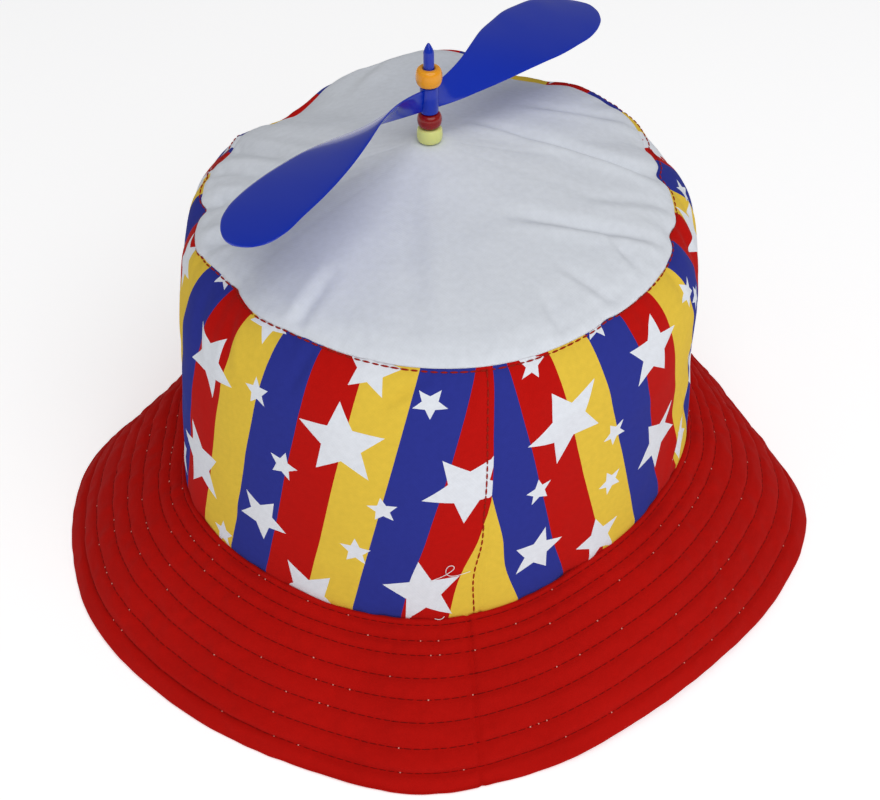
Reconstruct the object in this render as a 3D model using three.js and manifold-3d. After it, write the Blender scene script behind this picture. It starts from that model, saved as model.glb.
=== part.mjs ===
// Bucket hat with a toy propeller on a pin through the middle of its top.
// Millimetres, +Z up. The hat stands on its brim, z = 0 is the surface under it, and the
// pin's axis is the Z axis. The crown's one seam is at the back, on -Y. A turn is counted
// in degrees from that seam, towards +X.
import * as THREE from "three";
import { mergeVertices } from "three/addons/utils/BufferGeometryUtils.js";
import Module from "manifold-3d";

// Crown, to the outside of the cloth
const crownWidth = 185; // at the brim seam, side to side
const crownLength = 203; // at the brim seam, back to front
const topWidth = 157; // at the top seam
const topLength = 175;
const crownWall = 92.5; // brim seam up to top seam
const shoulderPower = 4; // puts the shoulder's fullest place at 4/5 of the way up
const domeRise = 21.1; // top seam up to the pin's foot
const clothWall = 1.2;

// Brim
const brimDrop = 37; // brim seam above the surface
const brimReach = 43; // brim seam out to the hem
const brimWall = 1.8;
const brimArchHeight = 3; // the brim's arch between seam and hem
const stitchRows = 8;
const stitchDepth = 0.5;
const liningWall = 1;
const hemTurn = 7; // red cloth turned under at the hem

// Pin and beads
const pinDiameter = 3.4;
const pinHeadDiameter = 10;
const pinHeadWall = 1.5;
const pinFlatMargin = 0.5; // flat cloth round the pin's head
const pinShows = 8.4; // pin above the upper bead
const pinPoint = 3;
const collarDiameter = 8.4;
const collarHeight = 5;
const lowerBeadDiameter = 8;
const lowerBeadHeight = 4.8;
const upperBeadDiameter = 8.5;
const upperBeadHeight = 6;
const beadRoundness = 0.6; // power of the cosine in a bead's profile: 1 is an ellipse, 0 a cylinder

// Propeller
const hubDiameter = 5.9;
const hubHeight = 9.2;
const bladeLength = 92; // hub's axis to tip
const bladeChord = 28;
const bladeWall = 1.3;
const bladeDroop = 6.9; // tip below the blade's root
const bladeSweep = 8.3; // tip ahead of the blade's root
const bladeShoulder = 0.25; // share of a blade's chord that thins towards each edge
const bladeTurn = 126.6; // where the first blade points

// Fits
const seamGap = 0.3;
const pinClearance = 0.3;
const beadGap = 0.3;

const columns = 72;
const pinSides = 16;

// Waves of the two seams: out is a share of the ring's radius, lift of the named height.
// shoulder is how far the wall swells out under the top seam, as a share of crownWall.
const brimSeamWaves = [
  { turn: -180, out: -0.001, lift: 0.06 },
  { turn: -125, out: -0.009, lift: 0.055 },
  { turn: -95, out: -0.037, lift: 0.022 },
  { turn: -72, out: 0.035, lift: -0.026 },
  { turn: -45, out: 0.021, lift: -0.036 },
  { turn: -12, out: 0.004, lift: -0.072 },
  { turn: 2, out: -0.004, lift: 0 },
  { turn: 22, out: -0.038, lift: 0.095 },
  { turn: 46, out: -0.037, lift: 0.089 },
  { turn: 68, out: -0.002, lift: 0.04 },
  { turn: 120, out: 0.016, lift: 0.056 },
];
const topSeamWaves = [
  { turn: -180, out: 0.01, lift: 0.045, shoulder: 0 },
  { turn: -167, out: 0, lift: 0, shoulder: 0.001 },
  { turn: -153, out: -0.022, lift: -0.086, shoulder: 0.004 },
  { turn: -135, out: -0.014, lift: -0.042, shoulder: 0.022 },
  { turn: -125, out: -0.045, lift: -0.035, shoulder: 0.027 },
  { turn: -110, out: -0.04, lift: 0, shoulder: -0.005 },
  { turn: -100, out: -0.042, lift: -0.003, shoulder: -0.001 },
  { turn: -92, out: -0.039, lift: -0.002, shoulder: -0.004 },
  { turn: -84, out: -0.011, lift: -0.001, shoulder: -0.019 },
  { turn: -76, out: -0.003, lift: 0, shoulder: -0.024 },
  { turn: -69, out: -0.027, lift: 0.008, shoulder: -0.003 },
  { turn: -62, out: -0.041, lift: 0.004, shoulder: -0.001 },
  { turn: -50, out: -0.013, lift: -0.001, shoulder: 0 },
  { turn: -40, out: -0.019, lift: 0.004, shoulder: 0 },
  { turn: -15, out: 0.006, lift: 0.002, shoulder: 0 },
  { turn: 3, out: 0.015, lift: 0.002, shoulder: 0.002 },
  { turn: 28, out: -0.009, lift: 0, shoulder: 0.006 },
  { turn: 52, out: 0.009, lift: -0.004, shoulder: 0.034 },
  { turn: 72, out: 0.006, lift: 0, shoulder: 0.006 },
  { turn: 90, out: -0.007, lift: 0.023, shoulder: 0.041 },
  { turn: 100, out: 0.006, lift: 0.009, shoulder: 0.05 },
  { turn: 112, out: 0.042, lift: 0.023, shoulder: 0.008 },
  { turn: 122, out: 0.036, lift: 0.028, shoulder: 0.002 },
  { turn: 132, out: 0.03, lift: 0.03, shoulder: 0 },
  { turn: 141, out: 0.01, lift: 0.011, shoulder: 0 },
  { turn: 150, out: -0.005, lift: 0, shoulder: 0 },
  { turn: 167, out: 0.03, lift: 0.075, shoulder: 0 },
];

// Waves of the brim: reach is a share of brimReach, lift of brimDrop, bulge of
// brimArchHeight. Where lift is below zero the hem is pressed flat on the surface.
const hemWaves = [
  { turn: -180, reach: 0.93, lift: -0.03, bulge: 1 },
  { turn: -150, reach: 0.85, lift: 0.02, bulge: 1.2 },
  { turn: -122, reach: 0.66, lift: -0.03, bulge: 2.2 },
  { turn: -108, reach: 1.04, lift: 0.0, bulge: 1.2 },
  { turn: -94, reach: 1.13, lift: 0.02, bulge: 1 },
  { turn: -76, reach: 1.02, lift: 0.03, bulge: 1 },
  { turn: -55, reach: 0.96, lift: 0.04, bulge: 1 },
  { turn: -28, reach: 0.93, lift: 0.01, bulge: 1 },
  { turn: -12, reach: 1.0, lift: -0.06, bulge: 0.4 },
  { turn: 2, reach: 0.92, lift: 0.03, bulge: 0.8 },
  { turn: 30, reach: 0.93, lift: 0.16, bulge: 1 },
  { turn: 55, reach: 1.04, lift: 0.08, bulge: 1 },
  { turn: 74, reach: 1.1, lift: 0.03, bulge: 1 },
  { turn: 92, reach: 0.82, lift: -0.03, bulge: 1.6 },
  { turn: 110, reach: 0.73, lift: -0.03, bulge: 1.6 },
  { turn: 145, reach: 0.9, lift: 0.02, bulge: 1 },
];

// The crown's side from brim seam to top seam: rise is a share of its height, inset of the
// way from the lower ring's radius to the upper one's.
const sideRows = [
  { rise: 0, inset: 0 },
  { rise: 0.14, inset: 0.07 },
  { rise: 0.38, inset: 0.15 },
  { rise: 0.62, inset: 0.22 },
  { rise: 0.79, inset: 0.32 },
  { rise: 0.9, inset: 0.52 },
  { rise: 0.96, inset: 0.74 },
  { rise: 1, inset: 1 },
];

// The top panel from its seam to the flat round the pin: inset is a share of that way, rise
// of domeRise. The seam's lift fades out on the way.
const domeRows = [
  { inset: 0.05, rise: 0.13 },
  { inset: 0.14, rise: 0.25 },
  { inset: 0.3, rise: 0.39 },
  { inset: 0.5, rise: 0.55 },
  { inset: 0.72, rise: 0.72 },
  { inset: 0.9, rise: 0.88 },
  { inset: 1, rise: 1 },
];

// A blade from root to tip: out is a share of bladeLength, lead and trail of bladeChord.
const bladeRows = [
  { out: 0.028, pitch: 83, lead: 0.048, trail: 0.235 },
  { out: 0.12, pitch: 63.9, lead: 0.102, trail: 0.252 },
  { out: 0.2, pitch: 49.8, lead: 0.167, trail: 0.268 },
  { out: 0.3, pitch: 34.9, lead: 0.28, trail: 0.305 },
  { out: 0.4, pitch: 23.9, lead: 0.398, trail: 0.347 },
  { out: 0.5, pitch: 16.9, lead: 0.485, trail: 0.393 },
  { out: 0.6, pitch: 14, lead: 0.557, trail: 0.429 },
  { out: 0.7, pitch: 11.1, lead: 0.58, trail: 0.439 },
  { out: 0.8, pitch: 9.2, lead: 0.573, trail: 0.429 },
  { out: 0.88, pitch: 6.1, lead: 0.541, trail: 0.368 },
  { out: 0.94, pitch: 4, lead: 0.447, trail: 0.27 },
  { out: 0.98, pitch: 2, lead: 0.294, trail: 0.151 },
  { out: 1, pitch: 1.9, lead: 0.131, trail: 0.043 },
];

// Heights that follow from the sizes
const brimWidth = Math.hypot(brimReach, brimDrop);
const topHeight = brimDrop + crownWall + domeRise;
const collarFoot = topHeight + beadGap;
const lowerBeadFoot = collarFoot + collarHeight + beadGap;
const hubFoot = lowerBeadFoot + lowerBeadHeight + beadGap;
const upperBeadFoot = hubFoot + hubHeight + beadGap;
const pinTip = upperBeadFoot + upperBeadHeight + pinShows;
const pinHeadTop = topHeight - clothWall - seamGap;
const pinFlatRadius = pinHeadDiameter / 2 + pinFlatMargin;
const pinHoleRadius = pinDiameter / 2 + pinClearance;

const wasm = await Module();
wasm.setup();

// A smooth closed curve through one column of a table of turns.
function waveAt(rows, column, turn) {
  const count = rows.length;
  const place = ((turn + 180) % 360 + 360) % 360 - 180;
  let row = count - 1;
  while (rows[row].turn > place) {
    row -= 1;
  }
  const turnOf = (i) => rows[((i % count) + count) % count].turn + 360 * Math.floor(i / count);
  const valueOf = (i) => rows[((i % count) + count) % count][column];
  const slopeAt = (i) => (valueOf(i + 1) - valueOf(i - 1)) / (turnOf(i + 1) - turnOf(i - 1));
  const span = turnOf(row + 1) - turnOf(row);
  const t = (place - turnOf(row)) / span;
  const ease = t * t * (3 - 2 * t);
  const leave = slopeAt(row) * span * t * (1 - t) * (1 - t);
  const arrive = slopeAt(row + 1) * span * t * t * (t - 1);
  return valueOf(row) + (valueOf(row + 1) - valueOf(row)) * ease + leave + arrive;
}

function ellipseRadius(width, length, turn) {
  const angle = THREE.MathUtils.degToRad(turn);
  return 1 / Math.hypot(Math.sin(angle) / (width / 2), Math.cos(angle) / (length / 2));
}

function brimSeamAt(turn) {
  return {
    radius: ellipseRadius(crownWidth, crownLength, turn) * (1 + waveAt(brimSeamWaves, "out", turn)),
    height: brimDrop * (1 + waveAt(brimSeamWaves, "lift", turn)),
  };
}

function topSeamAt(turn) {
  return {
    radius: ellipseRadius(topWidth, topLength, turn) * (1 + waveAt(topSeamWaves, "out", turn)),
    height: brimDrop + crownWall * (1 + waveAt(topSeamWaves, "lift", turn)),
  };
}

function hemAt(turn) {
  return {
    radius: brimSeamAt(turn).radius + brimReach * waveAt(hemWaves, "reach", turn),
    height: Math.max(0, brimDrop * waveAt(hemWaves, "lift", turn)),
  };
}

// Moves each point of a line to its left by a depth, along the mean of the two normals there.
function leftOf(line, depth) {
  return line.map(([x, y], i) => {
    const [ax, ay] = line[Math.max(i - 1, 0)];
    const [bx, by] = line[Math.min(i + 1, line.length - 1)];
    const before = new THREE.Vector2(x - ax, y - ay).normalize();
    const after = new THREE.Vector2(bx - x, by - y).normalize();
    const along = before.add(after).normalize();
    return [x - along.y * depth, y + along.x * depth];
  });
}

// The shoulder's share at a place on the way up, 1 where it is fullest.
function shoulderAt(rise) {
  const fullest = shoulderPower / (shoulderPower + 1);
  return (rise ** shoulderPower * (1 - rise)) / (fullest ** shoulderPower * (1 - fullest));
}

// The crown's outer line at a turn, from the brim seam to the pin's hole.
function crownLine(turn) {
  const low = brimSeamAt(turn);
  const top = topSeamAt(turn);
  const shoulder = crownWall * waveAt(topSeamWaves, "shoulder", turn);
  const side = sideRows.map(({ rise, inset }) => [
    THREE.MathUtils.lerp(low.radius, top.radius, inset) + shoulder * shoulderAt(rise),
    THREE.MathUtils.lerp(low.height, top.height, rise),
  ]);
  const level = brimDrop + crownWall;
  const dome = domeRows.map(({ inset, rise }) => [
    THREE.MathUtils.lerp(top.radius, pinFlatRadius, inset),
    level + (top.height - level) * (1 - inset) ** 2 + domeRise * rise,
  ]);
  return [...side, ...dome, [pinHoleRadius, topHeight]];
}

function bandSection(turn) {
  const outer = crownLine(turn);
  const inner = leftOf(outer, clothWall);
  const last = sideRows.length;
  inner[0][1] = outer[0][1];
  return [...outer.slice(0, last), ...inner.slice(0, last).reverse()];
}

function panelSection(turn) {
  const first = sideRows.length - 1;
  const outer = crownLine(turn).slice(first);
  const inner = leftOf(crownLine(turn), clothWall).slice(first);
  const [fromX, fromY] = outer[0];
  const [toX, toY] = outer[1];
  const step = seamGap / Math.hypot(toX - fromX, toY - fromY);
  const shift = [(toX - fromX) * step, (toY - fromY) * step];
  for (const line of [outer, inner]) {
    line[0] = [line[0][0] + shift[0], line[0][1] + shift[1]];
  }
  inner[inner.length - 1][0] = pinHoleRadius;
  return [...outer, ...inner.reverse()];
}

// The brim's upper line at a turn, from hem to seam, with no stitches in it.
function brimLine(turn, from, to, steps) {
  const seam = brimSeamAt(turn);
  const hem = hemAt(turn);
  const width = Math.hypot(hem.radius - seam.radius, seam.height - hem.height);
  const up = [(seam.height - hem.height) / width, (hem.radius - seam.radius) / width];
  const bulge = brimArchHeight * waveAt(hemWaves, "bulge", turn);
  return Array.from({ length: steps + 1 }, (_, i) => {
    const share = THREE.MathUtils.lerp(from, to, i / steps);
    const arch = bulge * 4 * share * (1 - share);
    return [
      THREE.MathUtils.lerp(hem.radius, seam.radius, share) + up[0] * arch,
      THREE.MathUtils.lerp(hem.height, seam.height - seamGap, share) + up[1] * arch,
    ];
  });
}

function brimSection(turn) {
  const smooth = brimLine(turn, 0, 1, stitchRows * 2);
  const sunk = leftOf(smooth, stitchDepth);
  const upper = smooth.map((point, i) => (i % 2 ? sunk[i] : point));
  const lower = leftOf(brimLine(turn, 0, 1, stitchRows), brimWall);
  const hem = hemAt(turn);
  const [nextRadius, nextHeight] = lower[1];
  const slope = (lower[2][1] - nextHeight) / (lower[2][0] - nextRadius);
  lower[0] = [nextRadius + (hem.height - nextHeight) / slope, hem.height];
  const ledge = [brimSeamAt(turn).radius - clothWall, upper.at(-1)[1]];
  return [...upper, ledge, ...lower.reverse()];
}

function liningSection(turn) {
  const from = hemTurn / brimWidth;
  const steps = 3;
  const line = brimLine(turn, from, 1, steps);
  const upper = leftOf(line, brimWall + seamGap);
  const lower = leftOf(line, brimWall + seamGap + liningWall);
  return [...upper, ...lower.reverse()];
}

// One closed body from a closed section at each turn.
function ringBody(sectionAt) {
  const position = [];
  const index = [];
  for (let column = 0; column < columns; column += 1) {
    const turn = (column * 360) / columns;
    const angle = THREE.MathUtils.degToRad(turn);
    for (const [radius, height] of sectionAt(turn)) {
      position.push(radius * Math.sin(angle), -radius * Math.cos(angle), height);
    }
  }
  const size = position.length / 3 / columns;
  for (let column = 0; column < columns; column += 1) {
    const here = column * size;
    const next = ((column + 1) % columns) * size;
    for (let i = 0; i < size; i += 1) {
      const j = (i + 1) % size;
      index.push(here + i, next + i, next + j);
      index.push(here + i, next + j, here + j);
    }
  }
  const geometry = new THREE.BufferGeometry();
  geometry.setAttribute("position", new THREE.Float32BufferAttribute(position, 3));
  geometry.setIndex(index);
  return geometry;
}

// A body turned about the Z axis from a closed or axis-to-axis profile of radius and height.
function turned(profile, sides) {
  const points = profile.map(([radius, height]) => new THREE.Vector2(radius, height));
  return new THREE.LatheGeometry(points, sides).rotateX(Math.PI / 2);
}

function beadGeometry(diameter, height, foot) {
  const bore = pinDiameter / 2 + pinClearance;
  const belly = diameter / 2 - bore;
  const steps = 8;
  const profile = Array.from({ length: steps + 1 }, (_, i) => {
    const angle = -Math.PI / 2 + (Math.PI * i) / steps;
    return [bore + belly * Math.cos(angle) ** beadRoundness, foot + (height / 2) * (1 + Math.sin(angle))];
  });
  return turned([...profile, profile[0]], pinSides);
}

function pinGeometry() {
  const radius = pinDiameter / 2;
  return turned(
    [
      [0, pinHeadTop - pinHeadWall],
      [pinHeadDiameter / 2, pinHeadTop - pinHeadWall],
      [pinHeadDiameter / 2, pinHeadTop],
      [radius, pinHeadTop],
      [radius, pinTip - pinPoint],
      [0, pinTip],
    ],
    pinSides,
  );
}

// A twisted paddle. Its section has six corners: two thin edges and a flat on each side.
function bladeGeometry() {
  const position = [];
  const rootHeight = hubFoot + hubHeight / 2;
  const rootMiddle = (bladeChord * (bladeRows[0].trail - bladeRows[0].lead)) / 2;
  for (const { out, pitch, lead, trail } of bladeRows) {
    const angle = THREE.MathUtils.degToRad(pitch);
    const chord = new THREE.Vector3(0, Math.cos(angle), Math.sin(angle));
    const face = new THREE.Vector3(0, -Math.sin(angle), Math.cos(angle));
    const middle = new THREE.Vector3(
      out * bladeLength,
      bladeSweep * out ** 2,
      rootHeight + rootMiddle - bladeDroop * out ** 2,
    );
    const corner = (along, across) =>
      middle
        .clone()
        .addScaledVector(chord, along * bladeChord)
        .addScaledVector(face, across * bladeWall);
    const width = lead + trail;
    const shoulder = width * bladeShoulder;
    for (const point of [
      corner(lead, 0),
      corner(lead - shoulder, 0.5),
      corner(shoulder - trail, 0.5),
      corner(-trail, 0),
      corner(shoulder - trail, -0.5),
      corner(lead - shoulder, -0.5),
    ]) {
      position.push(...point.toArray());
    }
  }
  const corners = position.length / 3 / bladeRows.length;
  const last = (bladeRows.length - 1) * corners;
  const index = [];
  for (let row = 0; row < last; row += corners) {
    for (let i = 0; i < corners; i += 1) {
      const j = (i + 1) % corners;
      index.push(row + i, row + j, row + corners + j);
      index.push(row + i, row + corners + j, row + corners + i);
    }
  }
  for (let i = 1; i < corners - 1; i += 1) {
    index.push(0, i + 1, i);
    index.push(last, last + i, last + i + 1);
  }
  const geometry = new THREE.BufferGeometry();
  geometry.setAttribute("position", new THREE.Float32BufferAttribute(position, 3));
  geometry.setIndex(index);
  return geometry;
}

function toSolid(geometry) {
  const bare = geometry.clone();
  bare.deleteAttribute("normal");
  bare.deleteAttribute("uv");
  const merged = mergeVertices(bare);
  return new wasm.Manifold(
    new wasm.Mesh({
      numProp: 3,
      vertProperties: new Float32Array(merged.attributes.position.array),
      triVerts: new Uint32Array(merged.index.array),
    }),
  );
}

function toGeometry(solid) {
  const mesh = solid.getMesh();
  const geometry = new THREE.BufferGeometry();
  geometry.setAttribute("position", new THREE.BufferAttribute(mesh.vertProperties, 3));
  geometry.setIndex(new THREE.BufferAttribute(mesh.triVerts, 1));
  return geometry;
}

function propellerGeometry() {
  const radius = hubDiameter / 2;
  const bore = pinDiameter / 2 + pinClearance;
  const past = 1;
  const hub = turned(
    [
      [0, hubFoot],
      [radius, hubFoot],
      [radius, hubFoot + hubHeight],
      [0, hubFoot + hubHeight],
    ],
    pinSides,
  );
  const drill = turned(
    [
      [0, hubFoot - past],
      [bore, hubFoot - past],
      [bore, hubFoot + hubHeight + past],
      [0, hubFoot + hubHeight + past],
    ],
    pinSides,
  );
  let solid = toSolid(hub);
  for (const half of [0, 180]) {
    const angle = THREE.MathUtils.degToRad(bladeTurn - 90 + half);
    solid = solid.add(toSolid(bladeGeometry().rotateZ(angle)));
  }
  return toGeometry(solid.subtract(toSolid(drill)));
}

const hat = new THREE.Group();
const propellerGroup = new THREE.Group();
hat.add(propellerGroup);

function addPiece(parent, name, geometry, color, roughness) {
  const material = new THREE.MeshStandardMaterial({ color, roughness, metalness: 0 });
  const mesh = new THREE.Mesh(geometry, material);
  mesh.name = name;
  parent.add(mesh);
}

addPiece(hat, "crown_top", ringBody(panelSection), "#dfe4ea", 0.9);
addPiece(hat, "side_band", ringBody(bandSection), "#b81c16", 0.85);
addPiece(hat, "brim", ringBody(brimSection), "#b5140f", 0.85);
addPiece(hat, "under_brim", ringBody(liningSection), "#e3e6ea", 0.9);
addPiece(hat, "pin", pinGeometry(), "#1d3fa8", 0.3);
addPiece(hat, "foot_collar", beadGeometry(collarDiameter, collarHeight, collarFoot), "#dde08c", 0.3);
addPiece(hat, "lower_bead", beadGeometry(lowerBeadDiameter, lowerBeadHeight, lowerBeadFoot), "#a3150f", 0.2);
addPiece(hat, "upper_bead", beadGeometry(upperBeadDiameter, upperBeadHeight, upperBeadFoot), "#f0a424", 0.2);
addPiece(propellerGroup, "propeller", propellerGeometry(), "#1f3cab", 0.25);

export default hat;
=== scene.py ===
import math
import bmesh
import bpy
import numpy as np
from mathutils import Matrix, Vector


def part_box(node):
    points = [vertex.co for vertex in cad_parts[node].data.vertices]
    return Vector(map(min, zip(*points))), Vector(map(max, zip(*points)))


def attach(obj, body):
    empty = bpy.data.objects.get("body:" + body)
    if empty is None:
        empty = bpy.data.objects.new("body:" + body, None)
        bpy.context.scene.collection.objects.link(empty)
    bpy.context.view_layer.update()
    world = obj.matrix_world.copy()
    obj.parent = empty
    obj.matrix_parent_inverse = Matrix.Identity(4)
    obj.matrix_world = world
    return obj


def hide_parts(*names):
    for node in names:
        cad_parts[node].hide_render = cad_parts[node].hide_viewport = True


# Bucket hat with a toy propeller. The frame holds the solids; this script dresses them.
# Shapes are worked out in millimetres, +Z up, and turned to metres when a mesh is made.
# A turn is counted in degrees round the pin, from the crown's seam at the back (-Y) towards +X.
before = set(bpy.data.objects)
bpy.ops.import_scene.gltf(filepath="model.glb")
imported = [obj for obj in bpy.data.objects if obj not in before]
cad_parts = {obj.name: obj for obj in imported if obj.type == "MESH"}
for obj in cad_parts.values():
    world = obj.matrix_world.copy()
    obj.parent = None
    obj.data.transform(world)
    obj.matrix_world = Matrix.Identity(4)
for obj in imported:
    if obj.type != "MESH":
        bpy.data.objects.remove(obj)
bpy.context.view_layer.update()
mm = 0.001
noStar = 9.0  # a place on the star map that is outside every star

hat = {
    "crownWidth": 185, "crownLength": 203,  # at the brim seam
    "topWidth": 157, "topLength": 175,      # at the top seam
    "crownWall": 92.5, "domeRise": 21.1, "clothWall": 1.2, "shoulderPower": 4,
    "brimDrop": 37, "brimReach": 43, "brimWall": 1.8, "brimArch": 3,
    "liningWall": 1.0, "hemTurn": 7, "seamGap": 0.3,
    "pinFlat": 5.5, "pinHole": 2.0,
}

# Waves of the brim seam: turn, out as a share of the radius, lift as a share of brimDrop
brimSeamWaves = [
    (-180, -.001, .06), (-125, -.009, .055), (-95, -.037, .022), (-72, .035, -.026), (-45, .021, -.036),
    (-12, .004, -.072), (2, -.004, 0), (22, -.038, .095), (46, -.037, .089), (68, -.002, .04),
    (120, .016, .056)]
# Waves of the top seam: turn, out, lift as a share of crownWall, swell of the wall under the seam
topSeamWaves = [
    (-180, .01, .045, 0), (-167, 0, 0, .001), (-153, -.022, -.086, .004), (-135, -.014, -.042, .022),
    (-125, -.045, -.035, .027), (-110, -.04, 0, -.005), (-100, -.042, -.003, -.001),
    (-92, -.039, -.002, -.004), (-84, -.011, -.001, -.019), (-76, -.003, 0, -.024),
    (-69, -.027, .008, -.003), (-62, -.041, .004, -.001), (-50, -.013, -.001, 0), (-40, -.019, .004, 0),
    (-15, .006, .002, 0), (3, .015, .002, .002), (28, -.009, 0, .006), (52, .009, -.004, .034),
    (72, .006, 0, .006), (90, -.007, .023, .041), (100, .006, .009, .05), (112, .042, .023, .008),
    (122, .036, .028, .002), (132, .03, .03, 0), (141, .01, .011, 0), (150, -.005, 0, 0),
    (167, .03, .075, 0)]
# Waves of the hem: turn, reach as a share of brimReach, lift of brimDrop, arch of brimArch
hemWaves = [
    (-180, .93, -.03, 1), (-150, .77, .02, .6), (-122, .61, -.03, .5), (-108, 1, 0, .8),
    (-94, 1.13, .02, 1), (-76, 1.02, .03, 1), (-55, .96, .04, 1), (-28, .93, .01, 1),
    (-12, 1, -.06, .4), (2, .92, .03, .8), (30, .93, .16, 1), (55, 1.04, .08, 1), (74, 1.1, .03, 1),
    (92, .82, -.03, 1.6), (110, .73, -.03, 1.6), (145, .9, .02, 1)]
# The wall's profile: rise and inset, as shares
sideRows = [
    (0, 0), (.14, .07), (.38, .15), (.62, .22), (.79, .32), (.9, .52), (.96, .74), (1, 1)]
# The panel's profile: inset and rise, as shares
domeRows = [
    (0, 0), (.05, .13), (.14, .25), (.3, .39), (.5, .55), (.72, .72), (.9, .88), (1, 1)]


def hexColour(code):
    values = [int(code[i:i + 2], 16) / 255 for i in (1, 3, 5)]
    linear = [v / 12.92 if v <= .04045 else ((v + .055) / 1.055) ** 2.4 for v in values]
    return (*linear, 1)


# A smooth closed curve through one column of a table of turns
def wave(table, column, turn):
    knots = np.array([row[0] for row in table], float)
    values = np.array([row[column] for row in table], float)
    knots = np.concatenate([knots[-2:] - 360, knots, knots[:3] + 360])
    values = np.concatenate([values[-2:], values, values[:3]])
    slopes = (values[2:] - values[:-2]) / (knots[2:] - knots[:-2])
    place = (np.asarray(turn, float) + 180) % 360 - 180
    low = np.searchsorted(knots, place, side="right") - 1
    span = knots[low + 1] - knots[low]
    t = (place - knots[low]) / span
    leave = slopes[low - 1] * span * t * (1 - t) ** 2
    arrive = slopes[low] * span * t * t * (t - 1)
    return values[low] + (values[low + 1] - values[low]) * t * t * (3 - 2 * t) + leave + arrive


# A smooth open curve through values at rising places, read at other places
def curveThrough(places, values, at):
    places = np.array(places, float)
    values = np.array(values, float)
    slopes = np.gradient(values, places)
    low = np.clip(np.searchsorted(places, at, side="right") - 1, 0, len(places) - 2)
    span = places[low + 1] - places[low]
    t = (at - places[low]) / span
    leave = slopes[low] * span * t * (1 - t) ** 2
    arrive = slopes[low + 1] * span * t * t * (t - 1)
    return values[low] + (values[low + 1] - values[low]) * t * t * (3 - 2 * t) + leave + arrive


# Even, seeded noise from -1 to 1 that closes on itself round the hat
def clothNoise(seed, aroundCells, upCells, turn, share):
    lattice = np.random.default_rng(seed).uniform(-1, 1, (aroundCells, upCells + 2))
    x = (turn % 360) / 360 * aroundCells
    y = np.clip(share, 0, 1) * upCells
    i = np.floor(x).astype(int)
    j = np.floor(y).astype(int)
    fx = x - i
    fy = y - j
    fx = fx * fx * (3 - 2 * fx)
    fy = fy * fy * (3 - 2 * fy)
    low = lattice[i % aroundCells, j] * (1 - fx) + lattice[(i + 1) % aroundCells, j] * fx
    high = lattice[i % aroundCells, j + 1] * (1 - fx) + lattice[(i + 1) % aroundCells, j + 1] * fx
    return low * (1 - fy) + high * fy


def ellipseRadius(width, length, turn):
    angle = np.radians(turn)
    return 1 / np.hypot(np.sin(angle) / (width / 2), np.cos(angle) / (length / 2))


def brimSeam(turn):
    oval = ellipseRadius(hat["crownWidth"], hat["crownLength"], turn)
    radius = oval * (1 + wave(brimSeamWaves, 1, turn))
    return radius, hat["brimDrop"] * (1 + wave(brimSeamWaves, 2, turn))


# Where the panel's edge is caught up in the seam: turn, depth, width in degrees
seamNotches = [
    (86.5, 2.4, 3), (64, 2, 3.5), (-95.5, 2.4, 3), (100, .9, 2), (-59.5, 1, 2), (-75, .8, 2),
    (-110, .8, 2), (28.5, .7, 2), (140, 1.2, 3), (-142, 1.2, 3), (168, 1.2, 3)]


def topSeam(turn):
    radius = ellipseRadius(hat["topWidth"], hat["topLength"], turn) * (1 + wave(topSeamWaves, 1, turn))
    for middle, depth, wide in seamNotches:
        radius = radius - depth * np.exp(-(((turn - middle + 180) % 360 - 180) / wide) ** 2)
    return radius, hat["brimDrop"] + hat["crownWall"] * (1 + wave(topSeamWaves, 2, turn))


def hem(turn):
    radius = brimSeam(turn)[0] + hat["brimReach"] * wave(hemWaves, 1, turn)
    return radius, np.maximum(0, hat["brimDrop"] * wave(hemWaves, 2, turn))


def spot(turn, radius, height):
    angle = np.radians(turn)
    return np.stack([radius * np.sin(angle), -radius * np.cos(angle), height], -1)


# The crown's side at a turn, share 0 at the brim seam and 1 at the top seam
def sideSpot(turn, share):
    lowRadius, lowHeight = brimSeam(turn)
    highRadius, highHeight = topSeam(turn)
    rise = np.array([row[0] for row in sideRows])
    inset = np.array([row[1] for row in sideRows])
    leanIn = (hat["crownWidth"] - hat["topWidth"]) / 2
    step = np.hypot(np.diff(rise) * hat["crownWall"], np.diff(inset) * leanIn)
    along = np.concatenate([[0], np.cumsum(step)]) / step.sum()
    riseHere = curveThrough(along, rise, share)
    insetHere = curveThrough(along, inset, share)
    power = hat["shoulderPower"]
    fullest = power / (power + 1)
    swell = riseHere ** power * (1 - riseHere) / (fullest ** power * (1 - fullest))
    radius = lowRadius + (highRadius - lowRadius) * insetHere
    radius = radius + hat["crownWall"] * wave(topSeamWaves, 3, turn) * swell
    return spot(turn, radius, lowHeight + (highHeight - lowHeight) * riseHere)


# The top panel at a turn, share 0 at its seam and 1 at the flat round the pin
def domeSpot(turn, share):
    edgeRadius, edgeHeight = topSeam(turn)
    level = hat["brimDrop"] + hat["crownWall"]
    rise = curveThrough([row[0] for row in domeRows], [row[1] for row in domeRows], share)
    radius = edgeRadius + (hat["pinFlat"] - edgeRadius) * share
    return spot(turn, radius, level + (edgeHeight - level) * (1 - share) ** 2 + hat["domeRise"] * rise)


# The brim at a turn, share 0 at the hem and 1 at the brim seam
def brimSpot(turn, share):
    seamRadius, seamHeight = brimSeam(turn)
    hemRadius, hemHeight = hem(turn)
    width = np.hypot(hemRadius - seamRadius, seamHeight - hemHeight)
    arch = hat["brimArch"] * wave(hemWaves, 3, turn) * 4 * share * (1 - share)
    radius = hemRadius + (seamRadius - hemRadius) * share + (seamHeight - hemHeight) / width * arch
    height = hemHeight + (seamHeight - hemHeight) * share + (hemRadius - seamRadius) / width * arch
    return spot(turn, radius, height)


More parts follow.
